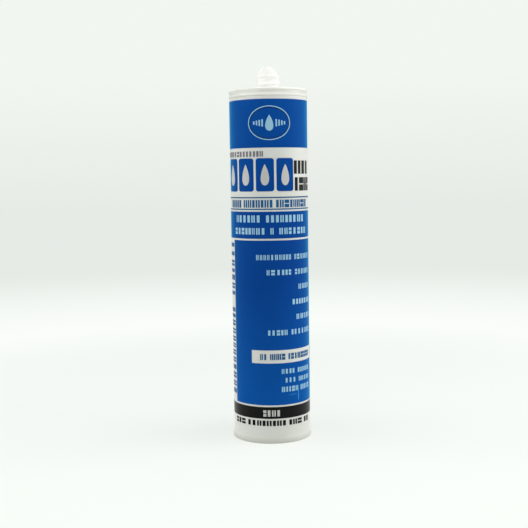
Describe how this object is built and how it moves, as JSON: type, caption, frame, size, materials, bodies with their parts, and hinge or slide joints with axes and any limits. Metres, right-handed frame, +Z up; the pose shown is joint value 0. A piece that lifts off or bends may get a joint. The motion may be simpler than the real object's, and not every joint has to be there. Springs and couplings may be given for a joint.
{
  "type": "caulk tube",
  "caption": "Cylindrical sealant cartridge with a threaded closed neck, a rim, printed blue and black fields and a sliding plunger in its open rear end.",
  "frame": {"origin": "middle of the rear edge, on the surface that the cartridge stands on", "axes": "+Z up the barrel towards the neck; the printed front looks along -Y and +X is to the right of it"},
  "size_m": [0.0502, 0.0502, 0.2351],
  "materials": {
    "white_polyethylene": "satin moulded polyethylene",
    "plunger_polyethylene": "matt moulded polyethylene",
    "sealant_paste": "smooth uncured paste",
    "blue_ink": "screen-printed ink, semi-gloss",
    "black_ink": "screen-printed ink, semi-gloss"
  },
  "bodies": {
    "cartridge": {"cartridge_body": "white_polyethylene", "sealant": "sealant_paste", "top_blue_panel": "blue_ink", "title_blocks": "blue_ink", "rule_lines": "black_ink", "blue_band": "blue_ink", "main_blue_panel": "blue_ink", "black_band": "black_ink"},
    "piston": {"plunger": "plunger_polyethylene"}
  },
  "joints": [
    {"name": "plunger_slide", "type": "slide", "parent": "cartridge", "child": "piston", "axis": [0, 0, 1], "range_m": [0, 0.172], "deforming": ["sealant"]}
  ]
}
